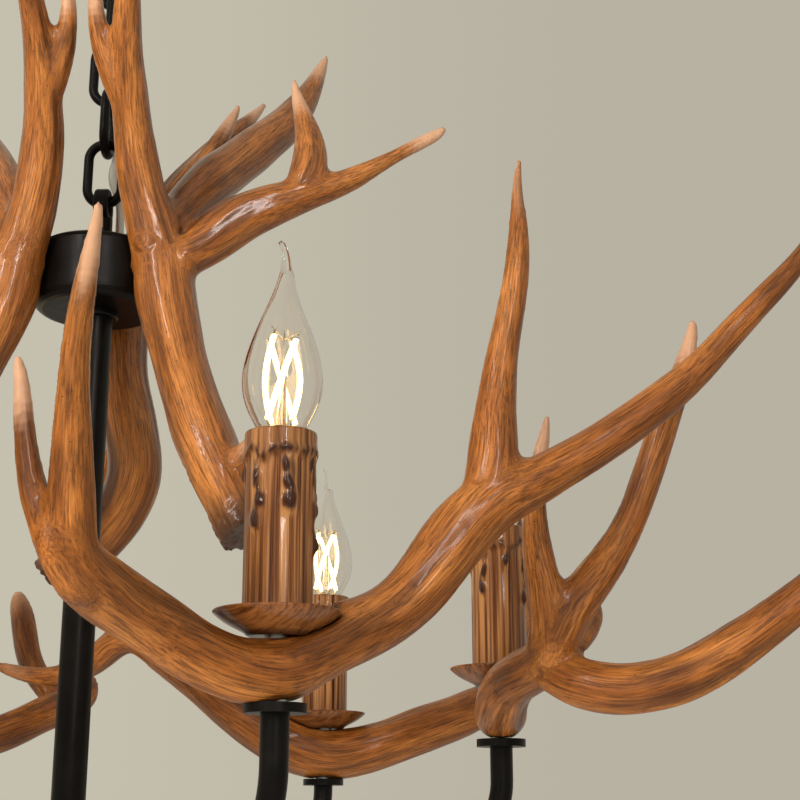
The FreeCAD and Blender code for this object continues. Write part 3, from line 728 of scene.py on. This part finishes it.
@dataclass
class Antler:
    """One shed antler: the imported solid's form, webbed at its forks, grooved and pearled."""

    node: str
    limbs: Limbs
    azimuth: float
    ring: float
    height: float
    turn: float = 0.0
    size: float = 1.0
    girth: float = 1.0
    outward: float = 0.0
    left_handed: bool = False
    burr_limb: str = ""
    seat: bool = False
    voxel: float = 0.0016
    seed: float = 0.0
    carving: Carving = Carving()
    tines: list[Tine] = field(default_factory=list)

    def place(self) -> Matrix:
        """The move from the antler's own seat to its place on the chandelier, in metres."""
        return ring_place(self.azimuth, self.ring, self.height, self.turn)

    def world_points(self, points: tuple[Point, ...]) -> Rows:
        """A limb's points on the chandelier.

        Args:
            points: the limb in its own frame, in millimetres.

        Returns:
            A row of x, y, z, radius for each point, in metres.
        """
        rows = []
        for x, y, z, r in points:
            side = -y if self.left_handed else y
            local = Vector((x * self.size + self.outward, side * self.size, z * self.size)) * MM
            rows.append((*(self.place() @ local), r * self.size * self.girth * MM))
        return np.array(rows)

    def body_of_solid(self, source: Piece) -> Piece:
        """A closed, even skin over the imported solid.

        Args:
            source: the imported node.

        Returns:
            The new piece.
        """
        skin = bpy.data.objects.new(self.node + "_skin", source.data.copy())
        bpy.context.scene.collection.objects.link(skin)
        select_only(skin)
        bpy.ops.object.mode_set(mode="EDIT")
        bpy.ops.mesh.select_all(action="SELECT")
        bpy.ops.mesh.remove_doubles(threshold=WELD)
        bpy.ops.object.mode_set(mode="OBJECT")
        size = self.voxel * 1.0
        apply_modifier(skin, "REMESH", mode="VOXEL", voxel_size=size, use_smooth_shade=True)
        apply_modifier(skin, "SMOOTH", factor=0.5, iterations=5)
        return skin

    def web_forks(self, skin: Piece) -> None:
        """Fills the sharp creases where limbs meet, as bone grows there.

        Args:
            skin: the antler's skin.
        """
        ratios = np.sort(np.stack([tine.read(coordinates(skin))[0] for tine in self.tines]), axis=0)
        crease = 1.0 - smoothstep(*self.carving.fork, ratios[1])
        group = skin.vertex_groups.new(name="forks")
        for index in np.nonzero(crease > 0.02)[0].tolist():
            group.add([index], float(crease[index]), "REPLACE")
        apply_modifier(skin, "SMOOTH", factor=0.5, iterations=self.carving.fork_rounds,
                       vertex_group="forks")
        skin.vertex_groups.clear()

    def carve(self, skin: Piece) -> None:
        """Cuts grooves and raises pearls along every limb, and paints what the lacquer needs.

        Args:
            skin: the antler's skin.
        """
        work = self.carving
        vertices = coordinates(skin)
        normals = rows_of(skin.data.vertex_normals, "vector")
        reads = [tine.read(vertices) for tine in self.tines]
        order = np.argsort(np.stack([read[0] for read in reads]), axis=0)
        pick = np.arange(len(vertices))
        ratio, local, left, radius = (np.stack([read[k] for read in reads]) for k in range(4))
        first, second = order[0], order[1]
        near, far = ratio[first, pick], ratio[second, pick]
        for name, limb in (("grain_a", first), ("grain_b", second)):
            apart = limb[:, None] * np.array((0.31, 0.17, 0.23))
            paint(skin, name, local[limb, pick] + apart + self.seed)
        paint(skin, "grain_mix", 0.5 * (1 - smoothstep(0.0, 0.45, far - near)))

        own = local[first, pick]
        across = np.maximum(np.linalg.norm(own[:, :2], axis=1), 1e-5)[:, None]
        round_the_limb = own[:, :2] / across
        run = own[:, 2:] + self.seed
        offset = first[:, None] * 3.7 + self.seed * 40
        channel = noise_at(np.hstack((round_the_limb * 1.9 + offset, run * 9.0)))
        ridge = noise_at(np.hstack((round_the_limb * 5.0 + offset, run * 17.0)))
        swell = noise_at(vertices * 34.0 + self.seed)
        bead = noise_at(vertices * 260.0 + self.seed)

        thick = smoothstep(*work.thin_to_thick, radius[first, pick])
        groove = smoothstep(0.10, 0.52, -channel)
        depth = -work.groove * groove * thick + work.ridge * ridge * (0.35 + 0.65 * thick)
        depth = depth + work.swell * swell * thick
        burr = np.zeros(len(vertices))
        if self.burr_limb:
            end = self.tines[list(self.limbs).index(self.burr_limb)].places[-1]
            gap = np.linalg.norm(vertices - end, axis=1)
            burr = 1.0 - smoothstep(*work.burr_edge, gap)
            collar = np.exp(-((gap - work.collar_place) / work.collar_width) ** 2)
            depth = depth + collar * (work.collar + work.pearls * bead) + burr * bead * work.grit
            depth = depth + work.burr_ridge * ridge * np.exp(-(gap / work.ridge_fade) ** 2)
        if self.seat:
            spot = self.place().translation
            level = np.hypot(vertices[:, 0] - spot.x, vertices[:, 1] - spot.y)
            above = smoothstep(-0.006, -0.002, vertices[:, 2] - spot.z)
            beside_dish = (1 - smoothstep(*work.dish_room, level)) * above
            depth = depth * smoothstep(*work.seat_flat, level) * (1 - beside_dish)
        else:
            depth = depth * smoothstep(*work.hub_room, np.hypot(vertices[:, 0], vertices[:, 1]))
        move_vertices(skin, vertices + normals * (depth * MM)[:, None])
        pitted = smoothstep(0.34, 0.62, bead) * smoothstep(0.1, 0.4, -swell)
        patch = smoothstep(0.12, 0.5, noise_at(vertices * 21.0 + self.seed + 5.0))
        paint(skin, "hollow", np.clip(0.5 * groove * (0.4 + 0.6 * thick) + 0.3 * pitted + 0.4 * patch, 0, 1))
        pale = (1 - smoothstep(*work.bare_tip, left[first, pick] + 0.008 * channel)) * (1 - thick)
        if DARK_TIP in self.limbs:
            pale[first == list(self.limbs).index(DARK_TIP)] *= 0.3
        paint(skin, "tip", np.clip(0.95 * pale + 0.1 * bead * pale, 0, 1))
        paint(skin, "burr", np.clip(burr * 0.9, 0, 1))

    def build(self, frame: dict, finishes: Finishes) -> Piece:
        """Makes the antler and puts it on the chandelier.

        Args:
            frame: the loaded frame.
            finishes: the materials.

        Returns:
            The finished piece.
        """
        self.tines = [Tine.through(self.world_points(points)) for points in self.limbs.values()]
        skin = self.body_of_solid(frame["nodes"][self.node])
        self.web_forks(skin)
        self.carve(skin)
        soften(skin)
        settle(skin, self.node + "_carved")
        dress(skin, finishes.slots["antler"] if self.seat else finishes.crown, "pendant")
        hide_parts(self.node)
        return skin


@dataclass
class AntlerSet:
    """The six cradle antlers and the three crown antlers."""

    frame: dict
    finishes: Finishes
    members: list[Antler] = field(default_factory=list)

    def __post_init__(self) -> None:
        """Lists the nine antlers."""
        for k, azimuth in enumerate(LIGHT_AZ):
            limbs = dict(CRADLE_LIMBS, **OWN_LIMBS.get(k, {}))
            self.members.append(Antler("cradle_antler_%d" % (k + 1), limbs, azimuth, RING_R,
                                       SEAT_Z + SEAT_LIFT[k], ANTLER_TURN[k], ANTLER_SIZE[k], seat=True,
                                       seed=0.37 * k))
        for k, azimuth in enumerate(CROWN_AZ):
            rear = k == REAR_CROWN
            left_out = ("brow", "fork", "fork_tine", "rear") if rear else ("back_tine",)
            limbs = {name: limb for name, limb in CROWN_LIMBS.items() if name not in left_out}
            if rear:
                limbs["main_down"] = REAR_CROWN_DOWN
            outward = 52 * (1 - CROWN_SIZE[k]) + 16 * (CROWN_GIRTH[k] - 1)
            self.members.append(Antler("crown_antler_%d" % (k + 1), limbs, azimuth, 0.0, HUB_MID, 0.0,
                                       CROWN_SIZE[k], CROWN_GIRTH[k], outward, k == LEFT_HANDED_CROWN,
                                       "main_down", seed=2.3 + 0.41 * k))

    def build(self) -> None:
        """Makes all of the antlers."""
        for member in self.members:
            member.build(self.frame, self.finishes)


# ---- candle lights
def turned_shell(name: str, section: Section, around: int) -> Piece:
    """A piece turned about Z: a ring drawn out through each step of its section and closed on itself.

    Args:
        name: the piece's name.
        section: the closed section.
        around: vertices round the ring.

    Returns:
        The piece, standing on the origin.
    """
    bpy.ops.object.select_all(action="DESELECT")
    radius, height = section[0]
    bpy.ops.mesh.primitive_circle_add(vertices=around, radius=radius * MM, location=(0, 0, height * MM))
    piece = bpy.context.object
    bpy.ops.object.transform_apply(location=True, rotation=True, scale=True)
    bpy.ops.object.mode_set(mode="EDIT")
    bpy.ops.mesh.select_all(action="SELECT")
    for after_radius, after_height in section[1:] + section[:1]:
        rise = (after_height - height) * MM
        bpy.ops.mesh.extrude_edges_move(TRANSFORM_OT_translate={"value": (0, 0, rise)})
        grow = after_radius / radius
        bpy.ops.transform.resize(value=(grow, grow, 1), center_override=(0, 0, 0))
        radius, height = after_radius, after_height
    bpy.ops.mesh.select_all(action="SELECT")
    bpy.ops.mesh.remove_doubles(threshold=WELD)
    bpy.ops.mesh.normals_make_consistent(inside=False)
    bpy.ops.object.mode_set(mode="OBJECT")
    piece.name = name
    return piece


@dataclass(frozen=True)
class WaxRun:
    """One run of wax down a sleeve: its angle in degrees, its end below the sleeve's top, width, swell."""

    angle: float
    end: float
    width: float
    swell: float


@dataclass
class CandleSleeve:
    """Candle-shaped timber sleeve with a lip of wax, runs and fluting."""

    finishes: Finishes
    foot: float = 2.6
    wall: float = 1.6
    rings: int = 140
    around: int = 192
    wax_edge: float = 12.0      # the wax coat's mean depth below the top
    wax_sway: float = 4.2
    coat: float = 0.7
    ledge: float = 0.8
    fluting: float = 0.24
    runs: tuple[WaxRun, ...] = tuple(WaxRun(*row) for row in (
        (-8.7, 36.0, 5.6, 1.9), (-11.5, 29.0, 4.4, 1.2), (-20.0, 21.0, 3.2, 0.8),
        (-67.0, 43.5, 4.8, 1.7), (-62.0, 35.0, 4.2, 1.2), (-71.0, 26.0, 3.2, 0.9),
        (46.0, 53.0, 4.6, 1.7), (54.0, 38.0, 3.6, 1.3), (33.0, 19.0, 3.0, 0.8), (78.0, 31.0, 3.4, 1.1),
        (104.0, 46.0, 4.0, 1.5), (111.0, 36.0, 3.0, 0.9), (150.0, 25.0, 3.2, 1.0),
        (-165.0, 38.0, 3.8, 1.4), (-158.0, 29.0, 2.8, 0.8), (-112.0, 23.0, 3.0, 0.9),
    ))

    def section(self) -> Section:
        """Draws the sleeve's section: outer face in close rings, rounded lip, inner face.

        Returns:
            The closed section.
        """
        r, top = SLEEVE_R, SLEEVE_TOP
        rise = (top - 1.4 - self.foot) / self.rings
        outer = [(r, self.foot + rise * k) for k in range(self.rings + 1)]
        lip = [(r - 0.25, top - 0.6), (r - 0.8, top - 0.15), (r - 1.7, top), (r - 2.4, top - 0.3),
               (r - self.wall, top - 2.0)]
        return outer + lip + [(r - self.wall, self.foot + 20), (r - self.wall, self.foot)]

    def pattern(self) -> Piece:
        """Models one sleeve on the origin.

        Returns:
            The sleeve with its dark wax and its painted shade marked.
        """
        piece = turned_shell("sleeve_pattern", self.section(), self.around)
        places = coordinates(piece)
        angle = np.degrees(np.arctan2(places[:, 1], places[:, 0]))
        radius = np.hypot(places[:, 0], places[:, 1]) / MM
        drop = SLEEVE_TOP - places[:, 2] / MM
        unit = np.stack((np.cos(np.radians(angle)), np.sin(np.radians(angle))), 1)
        uneven = noise_at(np.hstack((unit * 1.9, np.zeros((len(unit), 1)))))
        ragged = noise_at(np.hstack((unit * 7.0, np.ones((len(unit), 1)))))
        edge = self.wax_edge + self.wax_sway * uneven + 1.0 * ragged
        wax_and_shade = smoothstep(0.0, 1.8, edge - drop)
        ledge = np.exp(-((drop - edge + 0.6) / 2.3) ** 2)
        thick = self.coat * wax_and_shade + self.ledge * ledge
        broken = smoothstep(-0.4, 0.4, ragged)
        # painted shade along the wax lip, over its darker wax, and darker streaks in the wax coat
        shade = 0.9 * ledge * (0.45 + 0.55 * broken) + 0.35 * wax_and_shade * broken
        for run in self.runs:
            apart = (angle - run.angle + 180) % 360 - 180
            side = np.radians(apart) * SLEEVE_R + 0.7 * np.sin(drop * 0.31 + run.angle)
            narrow = run.width * (0.62 + 0.38 * np.cos(drop * 0.5 + run.angle))
            trail = np.exp(-(side / (0.42 * narrow)) ** 2) * (drop > 7)
            trail *= smoothstep(0.0, 2.5, run.end - drop)
            blob = np.exp(-(side / (0.55 * run.width)) ** 2 - ((drop - run.end + 3.4) / 3.8) ** 2)
            thick = np.maximum(thick, self.coat * trail) + run.swell * blob
            # the runs and the beads at their ends are painted darker, as darker wax and as painted shade
            run_wax_and_shade = smoothstep(0.12, 0.7, blob) + 0.7 * trail * smoothstep(9, 18, drop)
            shade = np.maximum(shade, run_wax_and_shade)
        flute = noise_at(np.hstack((unit * 8.0, (places[:, 2:] / MM) * 0.012)))
        outside = smoothstep(SLEEVE_R - 1.1, SLEEVE_R - 0.2, radius)
        bulge = (thick + self.fluting * flute * (1 - 0.7 * wax_and_shade)) * outside
        places[:, :2] += unit * (bulge * MM)[:, None]
        move_vertices(piece, places)
        rim = np.clip((2.0 - drop) / 2.0, 0, 1) * 0.55
        # stores the dark wax and the painted shade for the material
        paint(piece, "wax_and_shade", np.clip(np.maximum(shade, rim), 0, 1))
        paint(piece, "grain", places)
        soften(piece)
        return piece

    def build(self) -> None:
        """Stands a sleeve on each of the six seats."""
        pattern = self.pattern()
        for k, turn in enumerate(SLEEVE_TURN):
            piece = copy_on_seat(pattern, "wax_sleeve", k, turn)
            dress(piece, self.finishes.slots["sleeve"], "pendant")
            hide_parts("candle_sleeve_%d" % (k + 1))
        bpy.data.objects.remove(pattern)


@dataclass
class DripDish:
    """Shallow turned timber dish under each sleeve."""

    finishes: Finishes
    around: int = 96

    def section(self) -> Section:
        """Draws the dish's section, outer face first.

        Returns:
            The closed section.
        """
        h, r = DISH_HEIGHT, DISH_RIM_R
        outer = [(5.1, 0.05), (9, 0.05), (12, 0.1), (12.9, 0.6), (13.6, 1.4), (15.2, 2.3), (17.4, 3.4),
                 (19.8, 4.6), (22.2, 6.0), (24.4, 7.6), (26.0, 9.0), (r - 0.1, h - 0.9), (r, h - 0.4),
                 (r - 0.3, h)]
        inner = [(r - 0.9, h), (r - 1.4, h - 0.5), (24.3, 8.7), (22.4, 7.5), (20, 6.3), (17.6, 5.1),
                 (16.2, 3.8), (15.6, 2.7), (14.8, 2.5), (9, 2.5), (5.1, 2.5)]
        return outer + inner

    def build(self) -> None:
        """Puts a dish on each of the six seats."""
        pattern = turned_shell("dish_pattern", self.section(), self.around)
        places = coordinates(pattern)
        radius = np.hypot(places[:, 0], places[:, 1]) / MM
        # painted shade: the dish is painted darker towards its foot and round the sleeve's base, where it
        # meets the antler and the sleeve
        paint(pattern, "wax_and_shade", 0.8 * (1 - smoothstep(12.5, 16.0, radius)))
        paint(pattern, "grain", places)
        soften(pattern, 50)
        for k in range(len(LIGHT_AZ)):
            piece = copy_on_seat(pattern, "turned_dish", k, 40.0 * k + 12.0)
            dress(piece, self.finishes.slots["dish"], "pendant")
            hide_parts("drip_dish_%d" % (k + 1))
        bpy.data.objects.remove(pattern)


@dataclass
class LampMount:
    """What glows inside a bulb: glass stem, support wires and four slanted filaments."""

    finishes: Finishes
    base: float = 85.5
    low: float = 91.5
    high: float = 127.5
    low_ring: float = 7.4
    high_ring: float = 6.8
    start: float = -2.31
    twist: float = 1.9
    bow: float = 3.4
    filament_r: float = 1.3
    wire_r: float = 0.28
    tab_r: float = 0.5
    lead_r: float = 0.35
    pole_foot: float = 112.0
    filaments: int = 4

    def rod(self, start: Vector, end: Vector, radius: float, bow: float = 0.0) -> Piece:
        """A round rod between two points, bowed outward.

        Args:
            start: one end, in millimetres.
            end: the other end.
            radius: the rod's radius.
            bow: how far its middle stands out from the lamp's axis.

        Returns:
            The rod.
        """
        bpy.ops.object.select_all(action="DESELECT")
        length = (end - start).length
        middle = (start + end) / 2
        turn = (end - start).to_track_quat("Z", "Y").to_euler()
        bpy.ops.mesh.primitive_cylinder_add(vertices=12, radius=radius * MM, depth=length * MM,
                                            location=middle * MM, rotation=turn)
        piece = bpy.context.object
        bpy.ops.object.transform_apply(location=True, rotation=True, scale=True)
        bpy.ops.object.mode_set(mode="EDIT")
        bpy.ops.mesh.select_all(action="SELECT")
        bpy.ops.mesh.bevel(offset=radius * 0.45 * MM, segments=2, affect="EDGES", clamp_overlap=True)
        for tenth in range(-4, 5):
            bpy.ops.mesh.select_all(action="SELECT")
            cut = (middle + (end - start) * (tenth / 10)) * MM
            bpy.ops.mesh.bisect(plane_co=cut, plane_no=(end - start).normalized())
        bpy.ops.object.mode_set(mode="OBJECT")
        if bow:
            places = coordinates(piece)
            share = ((places / MM - np.array(start)) @ np.array(end - start)) / length ** 2
            out = Vector((middle.x, middle.y, 0)).normalized()
            places += np.array(out)[None] * (bow * MM * np.sin(np.pi * np.clip(share, 0, 1)))[:, None]
            move_vertices(piece, places)
        return piece

    def on_ring(self, angle: float, radius: float, height: float) -> Vector:
        """A point round the lamp's axis, in millimetres."""
        return Vector((radius * math.cos(angle), radius * math.sin(angle), height))

    def join(self, pieces: list[Piece], name: str) -> Piece:
        """Joins several pieces into one mesh.

        Args:
            pieces: what to join.
            name: the joined piece's name.

        Returns:
            The joined piece.
        """
        bpy.ops.object.select_all(action="DESELECT")
        for piece in pieces:
            piece.select_set(True)
        bpy.context.view_layer.objects.active = pieces[0]
        bpy.ops.object.join()
        pieces[0].name = name
        soften(pieces[0], 40)
        return pieces[0]

    def ends(self, filament: int) -> tuple[Vector, Vector]:
        """A filament's lower and upper ends; each slants round the lamp's axis.

        Args:
            filament: which filament, from 0.

        Returns:
            The two ends, in millimetres.
        """
        angle = 2 * math.pi * filament / self.filaments + self.start
        low = self.on_ring(angle, self.low_ring, self.low)
        high = self.on_ring(angle + self.twist, self.high_ring, self.high + 1.5 * (filament % 2))
        return low, high

    def glowing(self) -> Piece:
        """The four filaments of one bulb."""
        rods = [self.rod(*self.ends(k), self.filament_r, self.bow) for k in range(self.filaments)]
        return self.join(rods, "filament_pattern")

    def carrying(self) -> Piece:
        """Models the support wires and end tabs of one bulb.

        Returns:
            The wires as one piece.
        """
        rods = [self.rod(Vector((0, 0, self.pole_foot)), Vector((0.4, 0, self.high + 5.0)), self.wire_r)]
        for k in range(self.filaments):
            low, high = self.ends(k)
            slant = (high - low).normalized()
            spoke = Vector((high.x, high.y, 0)) * 1.3
            spoke.z = high.z + 3.0
            foot = Vector((low.x * 0.8, low.y * 0.8, self.low - 3.4))
            rods.append(self.rod(Vector((0.2, 0, self.high + 1.0)), spoke, self.wire_r))
            rods.append(self.rod(high, high + slant * 2.6, self.tab_r))
            rods.append(self.rod(low, foot, self.tab_r))
            rods.append(self.rod(Vector((0, 0, self.low - 1.5)), foot, self.wire_r))
        for side in (-1, 1):
            lead = Vector((1.3 * side, 0, self.base - 4))
            rods.append(self.rod(lead, Vector((2.2 * side, 0, self.low)), self.lead_r))
        return self.join(rods, "lamp_wire_pattern")

    def stem(self) -> Piece:
        """Models the flared glass stem of one bulb.

        Returns:
            The stem.
        """
        steps = ((6.0, -3.0), (3.6, 1.0), (2.3, 5.0), (1.9, 14.0), (1.6, 26.0), (1.5, 31.0), (1.1, 32.4),
                 (0.15, 32.8), (0.15, -3.0))
        piece = turned_shell("stem_pattern", [(radius, self.base + rise) for radius, rise in steps], 24)
        soften(piece, 50)
        return piece

    def build(self) -> None:
        """Hangs the works in each of the six bulbs."""
        worn = self.finishes
        patterns = ((self.glowing(), "filaments", worn.glow, "bulb_cap"),
                    (self.carrying(), "lamp_wires_fine", worn.slots["bulb_cap"], "bulb_cap"),
                    (self.stem(), "glass_stem", worn.slots["bulb_glass"], "bulb_glass"))
        for k in range(len(LIGHT_AZ)):
            for pattern, name, material, slot in patterns:
                piece = copy_on_seat(pattern, name, k, BULB_TURN[k] + 30.0)
                dress(piece, material, "bulb_%d" % (k + 1))
        for pattern, _, _, _ in patterns:
            bpy.data.objects.remove(pattern)


# ---- fittings carried over from the frame
@dataclass
class Fittings:
    """The hub, rod, chain, canopy, arms and small hardware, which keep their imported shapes."""

    frame: dict
    finishes: Finishes

    def build(self) -> None:
        """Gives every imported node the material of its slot."""
        for entry in self.frame["record"]["subparts"]:
            node = self.frame["nodes"][entry["node"]]
            material = self.finishes.slots[entry["material_slot"]]
            if not node.material_slots:
                node.data.materials.append(None)
            for holder in node.material_slots:
                holder.link = "OBJECT"
                holder.material = material
            LOG.info("%s wears %s", node.name, material.name)


# ---- studio
@dataclass(frozen=True)
class SoftLamp:
    """A rectangular lamp; only a mirrored one shows in gloss and through glass."""

    name: str
    place: Triple
    width: float
    height: float
    power: float
    colour: Triple
    mirrored: bool = True

    def hang(self, aim: Triple) -> None:
        """Hangs the lamp.

        Args:
            aim: where it points.
        """
        data = bpy.data.lights.new(self.name, "AREA")
        data.shape = "RECTANGLE"
        data.size = self.width
        data.size_y = self.height
        data.energy = self.power
        data.color = self.colour
        lamp = bpy.data.objects.new(self.name, data)
        lamp.location = self.place
        lamp.rotation_euler = (Vector(aim) - Vector(self.place)).to_track_quat("-Z", "Y").to_euler()
        lamp.visible_camera = False
        lamp.visible_glossy = self.mirrored
        lamp.visible_transmission = self.mirrored
        bpy.context.scene.collection.objects.link(lamp)


@dataclass
class Studio:
    """Plain pale floor, soft lamps, a warm grey background painted lighter on the left, and the photograph's
    viewpoint.
    """

    camera_place: Triple = (0.1733, -0.8108, -0.675)
    camera_pitch: float = 16.0
    lens: float = 67.5
    sensor: float = 36.0
    # the backdrop is painted lighter on the left than on the right: a painted falloff of the studio light
    wall_left: Colour = (0.560, 0.522, 0.420, 1)
    wall_right: Colour = (0.480, 0.444, 0.366, 1)
    wall_turn: tuple[float, float] = (-0.26, 0.14)      # where one shade turns into the other
    fill: Colour = (1.0, 0.955, 0.88, 1)
    fill_strength: float = 0.41
    floor_z: float = -1.9
    floor_shades: tuple[Colour, Colour] = ((0.78, 0.75, 0.69, 1), (0.84, 0.81, 0.75, 1))
    middle: Triple = (0.0, 0.0, -0.45)
    lamps: tuple[SoftLamp, ...] = (
        SoftLamp("strip_softbox", (0.62, -1.75, 0.10), 0.10, 0.8, 8.0, (1.0, 0.93, 0.90)),
        SoftLamp("left_strip", (-0.85, -1.55, 0.30), 0.08, 0.8, 8.0, (1.0, 0.91, 0.88)),
        SoftLamp("left_softbox", (-0.62, -1.05, -0.30), 0.5, 0.8, 14.5, (1.0, 0.94, 0.86), False),
        SoftLamp("rear_softbox", (-0.7, 1.6, 0.3), 1.2, 0.9, 12.0, (1.0, 0.96, 0.90), False),
        SoftLamp("low_softbox", (-0.3, -1.1, -1.6), 1.2, 1.2, 12.0, (1.0, 0.94, 0.86), False),
    )

    def camera(self) -> None:
        """Stands the camera below the chandelier, looking up at it."""
        data = bpy.data.cameras.new("photo_camera")
        data.lens = self.lens
        data.sensor_width = self.sensor
        data.clip_start = 0.01
        camera = bpy.data.objects.new("photo_camera", data)
        camera.location = self.camera_place
        camera.rotation_euler = (math.radians(90 + self.camera_pitch), 0, 0)
        bpy.context.scene.collection.objects.link(camera)
        bpy.context.scene.camera = camera

    def floor(self) -> None:
        """Lays a plain pale floor far under the chandelier."""
        bpy.ops.object.select_all(action="DESELECT")
        bpy.ops.mesh.primitive_plane_add(size=14.0, location=(0, 0, self.floor_z))
        plane = settle(bpy.context.object, "studio_floor")
        r = Recipe("studio_floor")
        shade = r.cloud(r.object_place(), 0.6, 1.0)
        r.set(Base_Color=r.mix(shade, *self.floor_shades), Roughness=0.9)
        plane.data.materials.append(r.material)

    def sky(self) -> None:
        """Lights the room evenly and shows the background to the camera, to gloss and through glass."""
        world = bpy.data.worlds.new("studio_room")
        bpy.context.scene.world = world
        world.use_nodes = True
        world.node_tree.nodes.clear()
        n = Nodes(world.node_tree)
        rays = n.node("ShaderNodeLightPath").outputs
        seen = n.out("ShaderNodeMath", {0: rays["Is Camera Ray"], 1: rays["Is Transmission Ray"]},
                     operation="MAXIMUM")
        seen = n.out("ShaderNodeMath", {0: seen, 1: rays["Is Glossy Ray"]}, operation="MAXIMUM")
        facing = n.out("ShaderNodeTexCoord", output="Generated")
        east = n.out("ShaderNodeSeparateXYZ", {"Vector": facing}, "X")
        # painted light: the backdrop turns from the lighter left colour to the darker right one
        low, high = self.wall_turn
        share = n.out("ShaderNodeMapRange", {"Value": east, "From Min": low, "From Max": high}, "Result",
                      interpolation_type="SMOOTHSTEP")
        shade = n.out("ShaderNodeMix", {0: share, 6: self.wall_left, 7: self.wall_right}, 2,
                      data_type="RGBA")
        wall = n.out("ShaderNodeBackground", {"Color": shade, "Strength": 1.0})
        room = n.out("ShaderNodeBackground", {"Color": self.fill, "Strength": self.fill_strength})
        n.node("ShaderNodeOutputWorld",
               {"Surface": n.out("ShaderNodeMixShader", {"Fac": seen, 1: room, 2: wall})})

    def build(self) -> None:
        """Sets up the floor, the room, the lamps and the camera."""
        self.floor()
        self.sky()
        for lamp in self.lamps:
            lamp.hang(self.middle)
        self.camera()
        bpy.context.scene.view_settings.view_transform = "Standard"


def main() -> None:
    """Builds the dressed chandelier in order and reports each piece."""
    logging.basicConfig(level=logging.INFO, format="%(name)s %(message)s")
    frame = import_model()
    Studio().build()
    finishes = Finishes()
    Fittings(frame, finishes).build()
    AntlerSet(frame, finishes).build()
    DripDish(finishes).build()
    CandleSleeve(finishes).build()
    LampMount(finishes).build()


if __name__ == "__main__":
    main()
